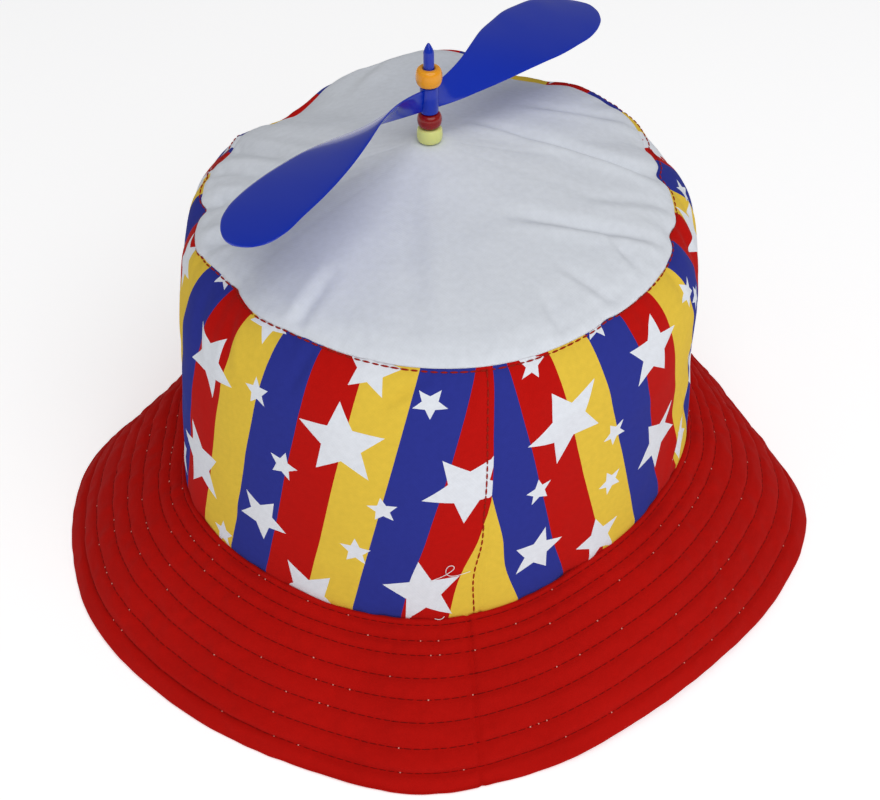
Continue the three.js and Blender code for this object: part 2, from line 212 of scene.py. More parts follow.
# Outward normals of a grid of points: turns along the first axis, rows along the second
def gridNormals(grid):
    around = np.roll(grid[:-1], -1, 0) - np.roll(grid[:-1], 1, 0)
    around = np.concatenate([around, around[:1]])
    up = np.gradient(grid, axis=1)
    normal = np.cross(around, up)
    return normal / np.linalg.norm(normal, axis=-1, keepdims=True)


def lengthAlong(grid, axis):
    step = np.linalg.norm(np.diff(grid, axis=axis), axis=-1)
    start = np.zeros_like(np.take(step, [0], axis=axis))
    return np.concatenate([start, np.cumsum(step, axis=axis)], axis=axis)


# A round edge from the outer to the inner wall: points on a half circle beyond the last row
def roundEdge(outer, before, inner, steps):
    middle = (outer + inner) / 2
    side = (outer - inner) / 2
    past = outer - before
    past = past / np.linalg.norm(past, axis=-1, keepdims=True)
    past = past * np.linalg.norm(side, axis=-1, keepdims=True)
    angles = [math.pi * (k + 1) / (steps + 1) for k in range(steps)]
    return [middle + side * math.cos(a) + past * math.sin(a) for a in angles]


# One closed cloth ring. outer and inner are grids over the same turns, both from row 0 up.
def clothRing(name, outer, inner, material, maps, edgeSteps=3):
    top = roundEdge(outer[:, -1], outer[:, -2], inner[:, -1], edgeSteps)
    foot = roundEdge(inner[:, 0], inner[:, 1], outer[:, 0], edgeSteps)
    loop = np.concatenate([outer, np.stack(top, 1), inner[:, ::-1], np.stack(foot, 1)], axis=1)
    columns, rows = loop.shape[0] - 1, loop.shape[1]
    c, r = np.meshgrid(np.arange(columns), np.arange(rows), indexing="ij")
    nextC, nextR = (c + 1) % columns, (r + 1) % rows
    quads = [c * rows + r, nextC * rows + r, nextC * rows + nextR, c * rows + nextR]
    faces = np.stack(quads, -1).reshape(-1, 4)
    mesh = bpy.data.meshes.new(name)
    mesh.from_pydata((loop[:-1].reshape(-1, 3) * mm).tolist(), [], faces.tolist())
    outerRows = outer.shape[1]
    for mapName, corners in maps.items():
        layer = mesh.uv_layers.new(name=mapName)
        values = np.full((columns, rows, 4, 2), noStar if mapName == "starMap" else 0.0)
        values[:, :outerRows - 1] = corners
        if mapName == "cloth":  # rim and back carry on from the face's top row
            around = corners[:, -1, :, 0]
            values[:, outerRows - 1:, :, 0] = around[:, None, :]
            depth = lengthAlong(loop, 1)[:-1, :, None] * mm
            for k, part in ((0, 0), (1, 0), (2, 1), (3, 1)):
                values[:, outerRows - 1:, k, 1] = np.roll(depth, -part, 1)[:, outerRows - 1:, 0]
        layer.data.foreach_set("uv", values.reshape(-1))
    mesh.shade_smooth()
    mesh.materials.append(material)
    piece = bpy.data.objects.new(name, mesh)
    bpy.context.scene.collection.objects.link(piece)
    return piece


# The four corners of each face between grid rows, from a value at each grid point
def cornersOf(values):
    return np.stack([values[:-1, :-1], values[1:, :-1], values[1:, 1:], values[:-1, 1:]], axis=2)


# Adds one node with its settings; an input is a value or the socket that feeds it
def add(tree, kind, inputs=None, **settings):
    node = tree.nodes.new(kind)
    for key, value in settings.items():
        setattr(node, key, value)
    for key, value in (inputs or {}).items():
        if isinstance(value, bpy.types.NodeSocket):
            tree.links.new(value, node.inputs[key])
        else:
            node.inputs[key].default_value = value
    return node


def newMaterial(name):
    material = bpy.data.materials.new(name)
    material.use_nodes = True
    material.node_tree.nodes.clear()
    return material, material.node_tree


cotton = {
    "thread": 0.55 * mm,       # spacing; the real 0.3 mm is too fine to show at this view
    "weaveDepth": 0.04 * mm, "weaveStrength": 0.5, "weaveShare": 0.35,  # share of threads against slubs
    "slubTone": 0.16, "threadTone": 0.012,                              # how far they swing the tone
    "blotches": 28.0,                                                   # for each metre
    "white": "#e4e8ef", "whiteShade": "#d9dee6",
    "red": "#bb130e", "redShade": "#ad100b",
    "yellow": "#e6c344", "blue": "#2e3690",
    "roughness": 0.95, "sheen": 0.02, "shine": 0.04,
}


# Plain weave: over and under threads as bump, thread spacing in metres, on the piece's own map
def weave(tree, spacing, depth):
    place = add(tree, "ShaderNodeUVMap", uv_map="cloth")
    turned = add(tree, "ShaderNodeVectorMath", {0: place.outputs[0], "Scale": math.pi / spacing},
                 operation="SCALE")
    parts = add(tree, "ShaderNodeSeparateXYZ", {0: turned.outputs[0]})
    warp = add(tree, "ShaderNodeMath", {0: parts.outputs[0]}, operation="SINE")
    weft = add(tree, "ShaderNodeMath", {0: parts.outputs[1]}, operation="SINE")
    both = add(tree, "ShaderNodeMath", {0: warp.outputs[0], 1: weft.outputs[0]}, operation="MULTIPLY")
    slub = add(tree, "ShaderNodeTexNoise", {"Vector": place.outputs[0],
               "Scale": .25 / spacing, "Detail": 3.0})
    height = add(tree, "ShaderNodeMath", {0: both.outputs[0], 1: cotton["weaveShare"], 2: slub.outputs[0]},
                 operation="MULTIPLY_ADD")
    bump = add(tree, "ShaderNodeBump", {
        "Strength": cotton["weaveStrength"], "Distance": depth, "Height": height.outputs[0]})
    return bump.outputs[0], both.outputs[0], slub.outputs[0]


# Woven cotton is matt with a faint sheen from loose fibres; the yarn's slubs vary its tone a little
def cottonShader(tree, colour, normal, tone):
    lighter = add(tree, "ShaderNodeHueSaturation", {"Color": colour, "Value": tone})
    surface = add(tree, "ShaderNodeBsdfPrincipled", {
        "Base Color": lighter.outputs[0], "Roughness": cotton["roughness"], "Normal": normal,
        "Sheen Weight": cotton["sheen"], "Sheen Roughness": .5, "Specular IOR Level": cotton["shine"]})
    add(tree, "ShaderNodeOutputMaterial", {"Surface": surface.outputs[0]})


# A tone near 1: slubs swing it most, single threads a little
def yarnTone(tree, threads, slub):
    swing = cotton["slubTone"]
    parts = add(tree, "ShaderNodeMath", {0: slub, 1: swing, 2: 1 - swing / 2}, operation="MULTIPLY_ADD")
    tone = add(tree, "ShaderNodeMath", {0: threads, 1: cotton["threadTone"], 2: parts.outputs[0]},
               operation="MULTIPLY_ADD")
    return tone.outputs[0]


# Dyed cotton in one colour, with faint blotches of a darker shade
def plainCotton(name, colour, shade):
    material, tree = newMaterial(name)
    normal, threads, slub = weave(tree, cotton["thread"], cotton["weaveDepth"])
    blotch = add(tree, "ShaderNodeTexNoise", {"Vector": add(tree, "ShaderNodeTexCoord").outputs["Object"],
                                              "Scale": cotton["blotches"], "Detail": 2.0})
    mixed = add(tree, "ShaderNodeMix", {
        "Factor": blotch.outputs[0], 6: hexColour(colour), 7: hexColour(shade)},
                data_type="RGBA")
    cottonShader(tree, mixed.outputs[2], normal, yarnTone(tree, threads, slub))
    return material


bandPrint = {
    "pitch": 16.77,        # width of one stripe
    "firstEdge": -10.8,    # red to yellow edge, left of the back seam
    "leanLeft": 22.5, "leanRight": 25,  # how far a stripe leans to the seam on its way up
    "innerPoint": 0.46,    # a star's inner corners, as a share of its radius
    "countFrom": 60,       # a multiple of 3 that keeps the count of stripes above 0
}
# Stars: along from the back seam at its height, up from the brim seam, radius, turn
printStars = [
    (-46.4, 68.3, 14.5, 1), (-33.3, 45.5, 5, 7), (-42.6, 25.8, 5.5, 1), (-19.1, 85.8, 5.1, 36),
    (-7.6, 54.4, 14, 33), (-19.5, 11.6, 14, 9), (-60.1, .2, 13.6, 35), (-78.1, 24.9, 10, 38),
    (-67.4, 51.7, 5.5, 60), (-77.9, 74.5, 5, 8), (-102.9, 72.8, 13.2, 43), (-113.5, 26.4, 15, 13),
    (-98.6, 4.1, 5.2, 3), (-112.7, 99.4, 5.1, 4), (-80.1, 97.5, 7.8, 42), (-37.5, 94.6, 9, 62),
    (26.8, 65.1, 15, 24), (48.2, 49.1, 5, 30), (47.6, 28.9, 5.1, 21), (17, 43.2, 4.9, 5),
    (18.7, 17.5, 8.9, 58), (43.4, 6.6, 9.7, 9), (66.3, 71.5, 12.3, 66), (75.5, 29, 13.8, 38),
    (91.2, 79.2, 5.3, 29), (43.6, 90.3, 5, 58), (14.2, 90.3, 5, 56), (98.8, 11.9, 9.8, 38),
    (100.5, 51, 5, 40), (99, 73, 4.6, 12), (127.5, 78.5, 14.4, 3), (113, 36, 13.6, 50), (121, 8, 5.1, 20),
    (134, 48, 5, 5), (146, 86, 5.1, 30), (143, 22, 9.5, 66), (172, 92, 9.4, 22), (158, 58, 14, 12),
    (166, 8, 5, 33), (181, 34, 9.6, 58), (193, 70, 13.8, 14), (207, 50, 5.1, 14), (212, 20, 13.6, 28),
    (228, 90, 6.5, 40), (236, 60, 9.6, 70), (250, 12, 5, 50), (258, 38, 14, 4), (262, 82, 9.8, 36),
    (284, 58, 5.2, 62), (290, 16, 9.5, 18), (298, 84, 13.6, 44),
    (-282, 46, 13.9, 8), (-292, 5, 5, 30), (-264, 78, 5.1, 52), (-254, 22, 9.7, 64), (-240, 60, 13.7, 26),
    (-222, 92, 9, 12), (-224, 30, 5, 45), (-205, 10, 13.5, 56), (-200, 62, 5.2, 20), (-192, 86, 9.6, 2),
    (-178, 38, 13.9, 40), (-158, 10, 5.1, 16), (-158, 70, 13.8, 68), (-140, 47, 5, 34), (-136, 12, 9.6, 24),
    (-143, 86, 9.4, 50)]
# The back seam isn't quite straight: share of the way up, sideways
seamCourse = [(0, -2.2), (.18, -2.2), (.3, 0), (.45, 1), (.57, 1.7), (.75, 2), (1, 3.1)]
seamCourseReach = 25  # how far from the seam the cloth goes with it


# Stripes from the print's own length along the cloth, stars from each face's own star
def printedCotton():
    material, tree = newMaterial("printedCotton")
    normal, threads, slub = weave(tree, cotton["thread"], cotton["weaveDepth"])
    place = add(tree, "ShaderNodeUVMap", uv_map="cloth")
    along = add(tree, "ShaderNodeSeparateXYZ", {0: place.outputs[0]}).outputs[0]
    pitch = bandPrint["pitch"] * mm
    shift = -bandPrint["firstEdge"] / bandPrint["pitch"]
    stripe = add(tree, "ShaderNodeMath", {0: along, 1: 1 / pitch, 2: shift + bandPrint["countFrom"]},
                 operation="MULTIPLY_ADD")
    third = add(tree, "ShaderNodeMath", {0: stripe.outputs[0], 1: 3.0}, operation="MODULO")
    isLast = add(tree, "ShaderNodeMath", {0: third.outputs[0], 1: 2.0}, operation="GREATER_THAN")
    isMiddle = add(tree, "ShaderNodeMath", {0: third.outputs[0], 1: 1.0}, operation="GREATER_THAN")
    base = add(tree, "ShaderNodeMix", {"Factor": isMiddle.outputs[0], 6: hexColour(cotton["yellow"]),
                                       7: hexColour(cotton["blue"])}, data_type="RGBA")
    stripes = add(tree, "ShaderNodeMix", {"Factor": isLast.outputs[0], 6: base.outputs[2],
                                          7: hexColour(cotton["red"])}, data_type="RGBA")
    star = add(tree, "ShaderNodeUVMap", uv_map="starMap")
    parts = add(tree, "ShaderNodeSeparateXYZ", {0: star.outputs[0]})
    size = add(tree, "ShaderNodeVectorMath", {0: star.outputs[0]}, operation="LENGTH")
    angle = add(tree, "ShaderNodeMath", {0: parts.outputs[0], 1: parts.outputs[1]}, operation="ARCTAN2")
    folded = add(tree, "ShaderNodeMath", {0: angle.outputs[0], 1: math.pi / 5}, operation="PINGPONG")
    cosine = add(tree, "ShaderNodeMath", {0: folded.outputs[0]}, operation="COSINE")
    sine = add(tree, "ShaderNodeMath", {0: folded.outputs[0]}, operation="SINE")
    inner = bandPrint["innerPoint"]
    acrossTip = inner * math.sin(math.pi / 5)
    alongTip = 1 - inner * math.cos(math.pi / 5)
    first = add(tree, "ShaderNodeMath", {0: cosine.outputs[0], 1: acrossTip}, operation="MULTIPLY")
    edge = add(tree, "ShaderNodeMath", {0: sine.outputs[0], 1: alongTip, 2: first.outputs[0]},
               operation="MULTIPLY_ADD")
    reach = add(tree, "ShaderNodeMath", {0: edge.outputs[0], 1: size.outputs["Value"]},
                operation="MULTIPLY")
    isStar = add(tree, "ShaderNodeMath", {0: reach.outputs[0], 1: acrossTip}, operation="LESS_THAN")
    colours = add(tree, "ShaderNodeMix", {"Factor": isStar.outputs[0], 6: stripes.outputs[2],
                                          7: hexColour(cotton["white"])}, data_type="RGBA")
    cottonShader(tree, colours.outputs[2], normal, yarnTone(tree, threads, slub))
    return material


# Folds of the wall: from along, up to along, up, depth and width
bandFolds = [
    (-18, 95, -36, 82, .9, 1.6), (-58, 98, -66, 78, .7, 2.2), (-6, 96, -10, 74, .5, 2),
    (8, 96, 14, 70, .6, 2.4), (92, -6, 104, 34, 1.6, 4), (104, 2, 112, 40, 1.2, 4),
    (60, 99, 66, 78, .6, 2.2), (86, 98, 88, 74, .8, 2.6), (-98, 98, -92, 72, .9, 3),
    (-116, 96, -110, 66, 1, 3.4), (118, 100, 112, 70, 1.2, 3), (140, 100, 134, 74, 1.2, 3.4),
    (-40, 4, -34, 30, .4, 3), (34, 4, 30, 26, .4, 3), (-150, 4, -140, 60, 1.2, 5),
    (-190, 90, -200, 40, 1, 5), (-236, 8, -226, 66, 1, 5), (180, 8, 188, 70, 1.1, 5),
    (222, 92, 214, 36, 1, 5), (262, 6, 270, 60, 1, 5)]
bandLook = {
    "columns": 620, "rows": 74, "innerStep": 3, "closerRows": 0.04,  # rows stand closer near both seams
    "pucker": 0.45, "puckerReach": 7,   # small gathers that die out away from the seams
    "footPucker": 0.7, "footPuckerReach": 5,  # the same at the brim seam, as a share of the pucker
    "broadWave": 0.7, "smallWave": 0.3,
    "topStitch": 1.9, "topStitchBack": 2.8, "topStitchFront": 4.2,   # stitch row below the top seam
    "seamGroove": 0.5, "stitchGroove": 0.3, "stitchGrooveWidth": 0.6,
    "seamRidge": 0.35, "edgeSink": 0.35,      # beside the back seam; under the panel's edge
    "tuckedIn": 0.9,                    # the foot goes down between brim and lining
    "backStitchAway": 1.6,              # stitch row left of the back seam
}


# The wall swells past the panel's edge at the far side: turn, millimetres
shoulderSwell = [
    (-180, 0), (-168, .4), (-158, 2), (-146, 1.2), (-120, .5), (-90, .2), (-60, 0), (0, 0), (60, 0),
    (90, .5), (112, 1.2), (128, 2), (150, 2.4), (162, 2), (172, .2)]


# How far below the top seam its stitch row runs
def topStitchDrop(turn):
    fromBack = (turn + 180) % 360 - 180
    more = bandLook["topStitchBack"] - bandLook["topStitch"]
    atFront = bandLook["topStitchFront"] - bandLook["topStitch"]
    return (bandLook["topStitch"] + more * np.exp(-(fromBack / 24) ** 2)
            + atFront * np.exp(-((180 - np.abs(fromBack)) / 50) ** 2))


def makeBand():
    columns = bandLook["columns"]
    rows = bandLook["rows"]
    ease = np.linspace(0, 1, rows)
    share = ease - bandLook["closerRows"] * np.sin(2 * math.pi * ease)
    turns = np.linspace(-360, 0, columns + 1)
    base = spot(turns, *brimSeam(turns))
    along = lengthAlong(base, 0)
    along = along - along[-1]                             # 0 at the seam's left side, -round at its right
    whole = -along[0]
    course = curveThrough([row[0] for row in seamCourse], [row[1] for row in seamCourse], share)
    near = np.where(along > -whole / 2, along, along + whole)
    shift = course[None, :] * np.exp(-(near[:, None] / seamCourseReach) ** 2)
    turn = turns[:, None] + shift * 360 / whole
    grid = sideSpot(turn, np.broadcast_to(share, turn.shape))
    normal = gridNormals(grid)
    up = lengthAlong(grid, 1)
    fromTop = up[:, -1:] - up
    fromSeam = near[:, None]
    ripple = clothNoise(3, 84, 3, turn, share) + .6 * clothNoise(4, 150, 4, turn, share)
    footPucker = bandLook["footPucker"] * np.exp(-up / bandLook["footPuckerReach"])
    bump = bandLook["pucker"] * ripple * (np.exp(-fromTop / bandLook["puckerReach"]) + footPucker)
    bump += bandLook["broadWave"] * clothNoise(5, 22, 4, turn, share) * np.sin(math.pi * share)
    bump += bandLook["smallWave"] * clothNoise(6, 64, 12, turn, share)
    grooveWidth = bandLook["stitchGrooveWidth"]
    bump -= bandLook["stitchGroove"] * np.exp(-((fromTop - topStitchDrop(turn)) / grooveWidth) ** 2)
    bump -= bandLook["seamGroove"] * (np.exp(-(fromSeam / .7) ** 2) + np.exp(-up / .8))
    bump -= bandLook["stitchGroove"] * np.exp(-((fromSeam + bandLook["backStitchAway"]) / grooveWidth) ** 2)
    bump += bandLook["seamRidge"] * np.exp(-((fromSeam + .9) / .7) ** 2)
    folds = foldDepth(np.stack([np.broadcast_to(near[:, None], up.shape), up], -1), bandFolds)
    bump = bump - folds * (1 - np.exp(-(up / 5) ** 2))
    bump = bump * (1 - np.exp(-(fromTop / 1.6) ** 2)) - bandLook["edgeSink"] * np.exp(-fromTop / .6)
    bump += wave(shoulderSwell, 1, turn) * np.exp(-((fromTop - 1.8) / 2.4) ** 2)
    outer = grid + normal * bump[..., None]
    innerRows = grid + normal * (np.minimum(bump, 0) - hat["clothWall"])[..., None]
    inner = np.concatenate([innerRows[:, :-1:bandLook["innerStep"]], innerRows[:, -1:]], 1)
    for wallRows in (outer, inner):
        wallRows[:, 0, 2] -= bandLook["tuckedIn"]
    isLeft = along > -whole / 2
    lean = np.where(isLeft, -leanAt("leanLeft", along, whole), leanAt("leanRight", along, whole))
    cloth = np.stack([along[:, None] + lean[:, None] * share[None, :], up], -1) * mm
    maps = {"cloth": cornersOf(cloth), "starMap": starCorners(along, up, grid)}
    return clothRing("bandCloth", outer, inner, printedCotton(), maps), outer, normal, turn, along


# A stripe's lean at each place along the band; it dies out towards the front
def leanAt(side, along, whole):
    fromFront = np.abs(along + whole / 2) / (whole / 2)
    return bandPrint[side] * np.sin(np.minimum(fromFront / .6, 1) * math.pi / 2)


# For each face the nearest star's own frame: radius 1, first tip up
def starCorners(along, up, grid):
    whole = -along[0]
    around = lengthAlong(grid, 0)
    narrow = (around[-1] / whole)[None, :]
    cornerAlong = cornersOf(np.broadcast_to(along[:, None], up.shape))
    cornerUp = cornersOf(up)
    cornerNarrow = cornersOf(np.broadcast_to(narrow, up.shape))
    faceAlong = cornerAlong.mean(-1)
    faceUp = cornerUp.mean(-1)
    faceNarrow = cornerNarrow.mean(-1)
    best = np.full(faceAlong.shape, 1.25)
    corners = np.full(cornerAlong.shape + (2,), noStar)
    for starAlong, starUp, radius, angle in printStars:
        middle = starAlong if starAlong < 0 else starAlong - whole
        distance = np.hypot((faceAlong - middle) * faceNarrow, faceUp - starUp) / radius
        mine = distance < best
        best[mine] = distance[mine]
        x = (cornerAlong[mine] - middle) * cornerNarrow[mine] / radius
        y = (cornerUp[mine] - starUp) / radius
        a = math.radians(angle)
        corners[mine] = np.stack([x * math.cos(a) + y * math.sin(a), y * math.cos(a) - x * math.sin(a)], -1)
    return corners


topLook = {
    "columns": 540, "rows": 62, "innerStep": 3,
    "pucker": 0.55, "puckerReach": 9, "broadWave": 0.9, "smallWave": 0.25,
    "edgeRoll": 0.45, "lap": 0.9, "lapDrop": 0.9, "lapReach": 1.2,
    "rippleLength": 80, "flatRound": 6, "flatFade": 12,   # flat round the pin, then fading in
}


# Smooth noise over the top panel, on X and Y so that it doesn't bunch at the pin
def flatNoise(seed, cell, grid):
    lattice = np.random.default_rng(seed).uniform(-1, 1, (64, 64))
    x = grid[..., 0] / cell + 32
    y = grid[..., 1] / cell + 32
    i = np.floor(x).astype(int)
    j = np.floor(y).astype(int)
    fx = (x - i) ** 2 * (3 - 2 * (x - i))
    fy = (y - j) ** 2 * (3 - 2 * (y - j))
    low = lattice[i, j] * (1 - fx) + lattice[i + 1, j] * fx
    high = lattice[i, j + 1] * (1 - fx) + lattice[i + 1, j + 1] * fx
    return low * (1 - fy) + high * fy


# Folds of the top panel: from x, y to x, y, depth and width; a fold fades out at both ends
topFolds = [
    (86, -14, 14, 20, 2.6, 3.4), (84, 26, 36, 34, 1.2, 3.2), (72, -44, 16, -33, 2.2, 3),
    (84, -24, 44, -24, .9, 3), (48, -74, 30, -55, 1.2, 2.4), (57, -60, 48, -40, 1.2, 2.4),
    (78, -16, 30, 20, .8, 2.6), (27, -88, 22, -66, 1.1, 2.4), (-80, 38, -44, 2, 1.7, 3.2),
    (-84, 18, -52, -6, 1.6, 3), (-86, -10, -58, -24, 1.5, 3), (-70, 56, -40, 10, 1.7, 3.4),
    (-54, -68, -36, -46, 1.1, 2.6), (-13, -92, -2, -10, -.7, 4.5), (-4, 92, -22, 62, 1.2, 4),
    (38, 74, 20, 50, 1.2, 4)]


def foldDepth(grid, folds):
    depth = np.zeros(grid.shape[:2])
    for fromX, fromY, toX, toY, deep, wide in folds:
        ax = toX - fromX
        ay = toY - fromY
        span = math.hypot(ax, ay)
        t = ((grid[..., 0] - fromX) * ax + (grid[..., 1] - fromY) * ay) / span ** 2
        away = ((grid[..., 0] - fromX) * -ay + (grid[..., 1] - fromY) * ax) / span
        fade = np.clip(4 * t * (1 - t), 0, 1)
        shape = np.exp(-(away / wide) ** 2) - .6 * np.exp(-((away - 1.6 * wide) / wide) ** 2)
        depth += deep * fade * shape
    return depth


def makeTop():
    rows = topLook["rows"]
    ease = np.linspace(0, 1, rows)
    share = ease ** 1.25
    turns = np.linspace(-360, 0, topLook["columns"] + 1)
    turn = np.broadcast_to(turns[:, None], (len(turns), rows))
    grid = domeSpot(turn, np.broadcast_to(share, turn.shape))
    flat = spot(turns, np.full(turns.shape, hat["pinHole"]), np.full(turns.shape, grid[0, -1, 2]))
    grid = np.concatenate([grid, flat[:, None]], 1)
    normal = gridNormals(grid)
    normal[:, -1] = (0, 0, 1)
    inward = lengthAlong(grid, 1)
    turn = np.broadcast_to(turns[:, None], inward.shape)
    fromPin = np.hypot(grid[..., 0], grid[..., 1])
    calm = np.clip((fromPin - topLook["flatRound"]) / topLook["flatFade"], 0, 1)
    inwardShare = inward / topLook["rippleLength"]
    ripple = clothNoise(11, 84, 3, turn, inwardShare) + .6 * clothNoise(12, 140, 4, turn, inwardShare)
    gathers = ripple * np.exp(-inward / topLook["puckerReach"])
    bump = topLook["pucker"] * gathers * (1 - np.exp(-(inward / 2) ** 2))
    calm = calm * (1 - np.exp(-(inward / 2.5) ** 2))      # and calm where it meets the wall
    broad = topLook["broadWave"] * flatNoise(13, 34, grid)
    bump += (broad + topLook["smallWave"] * flatNoise(14, 9, grid)) * calm
    bump += topLook["edgeRoll"] * np.exp(-((inward - 1.4) / 1.5) ** 2)
    bump = bump - foldDepth(grid, topFolds) * calm
    outer = grid + normal * bump[..., None]
    lap = np.exp(-inward / topLook["lapReach"])[..., None]
    away = spot(turn, 1, -topLook["lapDrop"] + 0 * turn)
    outer = outer + away * lap * topLook["lap"]          # the panel's edge laps over the wall's
    lower = grid - normal * hat["clothWall"] + normal * np.minimum(bump, 0)[..., None]
    inner = np.concatenate([lower[:, :-1:topLook["innerStep"]], lower[:, -1:]], 1)
    cloth = np.stack([outer[..., 0], outer[..., 1]], -1) * mm
    material = plainCotton("whiteCotton", cotton["white"], cotton["whiteShade"])
    return clothRing("topCloth", outer, inner, material, {"cloth": cornersOf(cloth)}, 2)


brimLook = {
    "columns": 760, "innerStep": 4,
    "stitchRows": [.034, .126, .21, .343, .464, .594, .741, .881],  # share of the way from seam to hem
    "width": 57,                           # from seam to hem, which spaces the rows of the grid
    "puff": 0.55, "puffVary": 0.25,        # the wadding between two rows
    "channel": 0.55, "channelWidth": 0.55, "lastChannel": 0.9, "lastWidth": 0.8, "pucker": 0.38,
    "hemRound": 0.9, "hemFade": 5, "leastWall": 0.4,
    "softWave": 0.4, "ridgeLean": 0.8,     # a ridge is highest past the middle
    "seamTurn": -3.7, "seamGroove": 1.3,   # the brim's own seam
}


# Soft ridges and valleys from seam to hem: turn, height, width in degrees
brimRidges = [
    (-12.5, 3, 6), (-22, -1, 6), (8, -.6, 6), (34, .6, 7), (58, -.7, 6), (-38, .5, 7), (-60, -.6, 6),
    (-84, .5, 6), (84, .5, 6), (120, .8, 7), (150, -.8, 7), (-150, .8, 7)]


# The brim's own soft shape, shared by the quilted cloth and its lining
def brimGrid(turns, share):
    turn = np.broadcast_to(turns[:, None], (len(turns), len(share)))
    grid = brimSpot(turn, np.broadcast_to(share, turn.shape))
    normal = gridNormals(grid)
    soft = brimLook["softWave"] * clothNoise(24, 20, 3, turn, share)
    for middle, height, wide in brimRidges:
        aside = (turn - middle + 180) % 360 - 180
        rise = np.sin(math.pi * share ** brimLook["ridgeLean"])
        soft = soft + height * np.exp(-(aside / wide) ** 2) * rise
    return grid + normal * soft[..., None], turn


def makeBrim():
    edges = [0] + sorted(1 - s for s in brimLook["stitchRows"]) + [1]
    share = [0.0]
    for low, high in zip(edges[:-1], edges[1:]):
        steps = max(3, round((high - low) * brimLook["width"]))
        share += [low + (high - low) * (k + 1) / steps for k in range(steps)]
    share = np.array(share)
    turns = np.linspace(-360, 0, brimLook["columns"] + 1)
    grid, turn = brimGrid(turns, share)
    normal = gridNormals(grid)
    up = lengthAlong(grid, 1)
    nearest = np.abs(share[:, None] - np.array(edges[1:-1])[None, :]).min(1) * brimLook["width"]
    gap = np.interp(share, edges, np.arange(len(edges)))
    puff = np.sin(math.pi * (gap % 1))
    ripple = clothNoise(21, 190, 16, turn, share) + .7 * clothNoise(22, 96, 8, turn, share)
    vary = 1 + brimLook["puffVary"] * clothNoise(23, 60, 8, turn, share)
    bump = brimLook["puff"] * (puff - .5)[None, :] * vary
    channel = brimLook["channel"] * np.exp(-(nearest / brimLook["channelWidth"]) ** 2)
    bump = bump - channel[None, :] + brimLook["pucker"] * ripple
    fromLast = (share - edges[1]) * brimLook["width"]
    bump = bump - brimLook["lastChannel"] * np.exp(-(fromLast / brimLook["lastWidth"]) ** 2)[None, :]
    fromSeam = (turn - brimLook["seamTurn"] + 180) % 360 - 180
    away = fromSeam * math.pi / 180 * np.hypot(grid[..., 0], grid[..., 1])
    bump = bump - brimLook["seamGroove"] * np.exp(-(away / .8) ** 2)
    atHem = np.clip(share * brimLook["width"] / brimLook["hemFade"], 0, 1)[None, :]
    wall = hat["brimWall"]
    bump = np.maximum(bump * (.35 + .65 * atHem), brimLook["leastWall"] - wall)
    outer = grid + normal * bump[..., None]
    under = grid - normal * wall
    inner = np.concatenate([under[:, :-1:brimLook["innerStep"]], under[:, -1:]], 1)
    lowest = brimLook["hemRound"]                      # the round edge of the hem reaches the ground
    outer[..., 2] = np.maximum(outer[..., 2], lowest)
    inner[..., 2] = np.maximum(inner[..., 2], lowest * .2)
    for wallRows in (outer, inner):
        wallRows[:, 0, 2] = np.maximum(wallRows[:, 0, 2], lowest)
    around = lengthAlong(grid[:, len(share) // 2], 0)
    cloth = np.stack([np.broadcast_to(around[:, None], up.shape), up], -1) * mm
    material = plainCotton("redCotton", cotton["red"], cotton["redShade"])
    piece = clothRing("brimCloth", outer, inner, material, {"cloth": cornersOf(cloth)})
    return piece, outer, normal, share, edges


liningLook = {"columns": 360, "rows": 34, "ripple": 0.25, "lowestOuter": 0.2, "lowestInner": 0.1}


# The cloth under the brim, from the turned hem to the brim seam
def makeLining():
    firstRow = hat["hemTurn"] / math.hypot(hat["brimReach"], hat["brimDrop"])
    share = np.linspace(firstRow, 1, liningLook["rows"])
    turns = np.linspace(-360, 0, liningLook["columns"] + 1)
    grid, turn = brimGrid(turns, share)
    normal = gridNormals(grid)
    ripple = liningLook["ripple"] * clothNoise(31, 70, 8, turn, share)
    outer = grid - normal * (hat["brimWall"] + hat["seamGap"])
    inner = grid - normal * (hat["brimWall"] + hat["seamGap"] + hat["liningWall"] + ripple[..., None])
    outer[..., 2] = np.maximum(outer[..., 2], liningLook["lowestOuter"])
    inner[..., 2] = np.maximum(inner[..., 2], liningLook["lowestInner"])
    around = lengthAlong(grid[:, liningLook["rows"] // 2], 0)
    cloth = np.stack([np.broadcast_to(around[:, None], turn.shape), lengthAlong(grid, 1)], -1) * mm
    material = plainCotton("whiteLining", cotton["white"], cotton["whiteShade"])
    return clothRing("liningCloth", outer, inner, material, {"cloth": cornersOf(cloth)})


# Injection moulded polystyrene: smooth and glossy, a little light goes into it
def plastic(name, colour, roughness=.16, depth=.08):
    material, tree = newMaterial(name)
    place = add(tree, "ShaderNodeTexCoord").outputs["Object"]
    # scuffs about 1.5 mm apart
    scuff = add(tree, "ShaderNodeTexNoise", {"Vector": place, "Scale": 600.0, "Detail": 4.0})
    bump = add(tree, "ShaderNodeBump", {"Strength": .12, "Distance": .05 * mm, "Height": scuff.outputs[0]})
    rough = add(tree, "ShaderNodeMath", {0: scuff.outputs[0], 1: .1, 2: roughness - .05},
                operation="MULTIPLY_ADD")
    surface = add(tree, "ShaderNodeBsdfPrincipled", {
        "Base Color": hexColour(colour), "Roughness": rough.outputs[0], "IOR": 1.45,
        "Normal": bump.outputs[0], "Subsurface Weight": depth,
        "Subsurface Radius": (.4, .5, 1), "Subsurface Scale": 1 * mm})
    add(tree, "ShaderNodeOutputMaterial", {"Surface": surface.outputs[0]})
    return material


